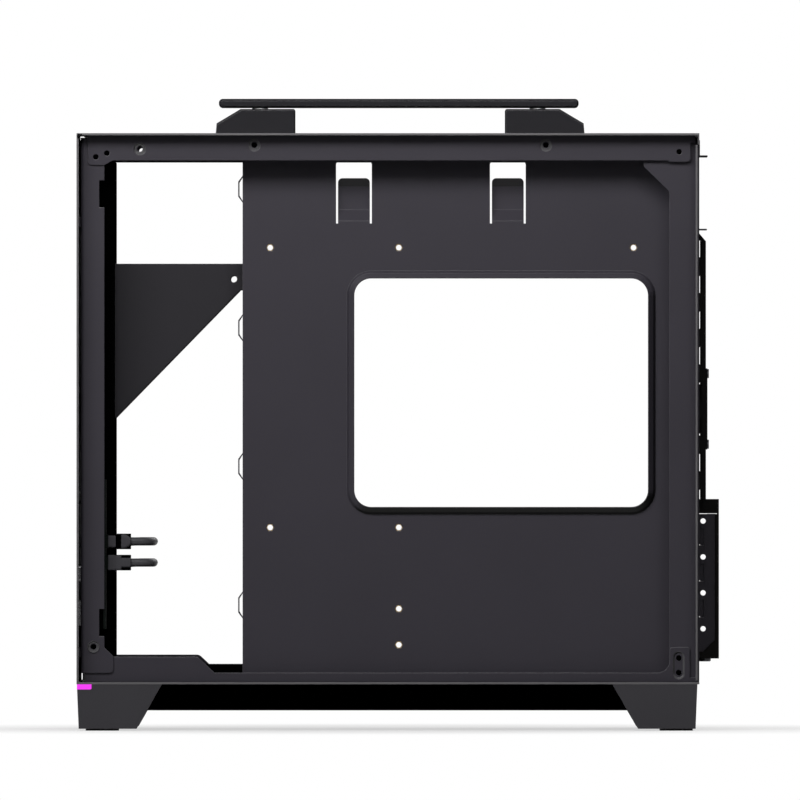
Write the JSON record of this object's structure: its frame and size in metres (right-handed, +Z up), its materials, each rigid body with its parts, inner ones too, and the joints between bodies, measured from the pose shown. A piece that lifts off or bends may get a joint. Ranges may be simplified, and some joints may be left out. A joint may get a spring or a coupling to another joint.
{
  "type": "computer case",
  "caption": "Small open-sided tower computer case with a top handle, tall side feet, a glowing front strip and two front cables.",
  "frame": {"origin": "middle of the bounding box, on the plane the foot pads stand on", "axes": "+X towards the rear, with its sockets and slots; +Z up; the open cable side faces -Y"},
  "size_m": [0.3622, 0.205, 0.3558],
  "materials": {
    "case_paint": "fine textured black powder coat",
    "handle_metal": "fine satin black",
    "black_plastic": "fine matt grain",
    "button_cap": "satin",
    "screw_steel": "blackened",
    "brass": "plain",
    "rubber": "matt",
    "washer_nylon": "plain",
    "light_diffuser": "glowing magenta",
    "mesh_cloth": "fine dark mesh",
    "circuit_board": "solder mask",
    "socket_steel": "bright",
    "spring_steel": "drawn wire",
    "cable_jacket": "smooth matt"
  },
  "bodies": {
    "chassis": {"top_panel": "case_paint", "top_frame": "case_paint", "front_frame": "case_paint", "front_panel": "case_paint", "fan_bracket": "case_paint", "bottom_panel": "case_paint", "base_frame": "case_paint", "rear_panel": "case_paint", "rear_column_near": "case_paint", "rear_column_far": "case_paint", "rear_upper_lip": "case_paint", "vent_cover": "case_paint", "slot_cover_1": "case_paint", "slot_cover_2": "case_paint", "slot_cover_3": "case_paint", "slot_cover_4": "case_paint", "slot_guard": "case_paint", "motherboard_tray": "case_paint", "power_supply_shelf": "case_paint", "stiffener_front": "case_paint", "stiffener_rear": "case_paint", "handle_block_front": "handle_metal", "handle_block_rear": "handle_metal", "handle_bar": "handle_metal", "foot_front": "black_plastic", "foot_rear": "black_plastic", "bottom_filter": "black_plastic", "io_housing": "black_plastic", "cable_plug_upper": "black_plastic", "cable_plug_lower": "black_plastic", "header_plug_upper": "black_plastic", "header_plug_lower": "black_plastic", "cable_guide": "black_plastic", "mains_inlet": "black_plastic", "audio_socket": "black_plastic", "button_switch": "black_plastic", "guard_screw": "screw_steel", "inlet_screws": "screw_steel", "inlet_pins": "brass", "standoffs": "brass", "foot_pad_front_near": "rubber", "foot_pad_front_far": "rubber", "foot_pad_rear_near": "rubber", "foot_pad_rear_far": "rubber", "handle_washers": "washer_nylon", "light_bar": "light_diffuser", "front_mesh": "mesh_cloth", "top_mesh": "mesh_cloth", "bottom_mesh": "mesh_cloth", "io_board": "circuit_board", "usb_a_socket": "socket_steel", "usb_c_socket": "socket_steel", "button_spring": "spring_steel", "cable_upper": "cable_jacket", "cable_lower": "cable_jacket"},
    "button": {"power_button": "button_cap"}
  },
  "joints": [
    {"name": "button_press", "type": "slide", "parent": "chassis", "child": "button", "axis": [1, 0, 0], "range_m": [0, 0.001], "stiffness_N_per_m": 400, "springref_m": -0.002, "deforming": ["button_spring"]}
  ]
}
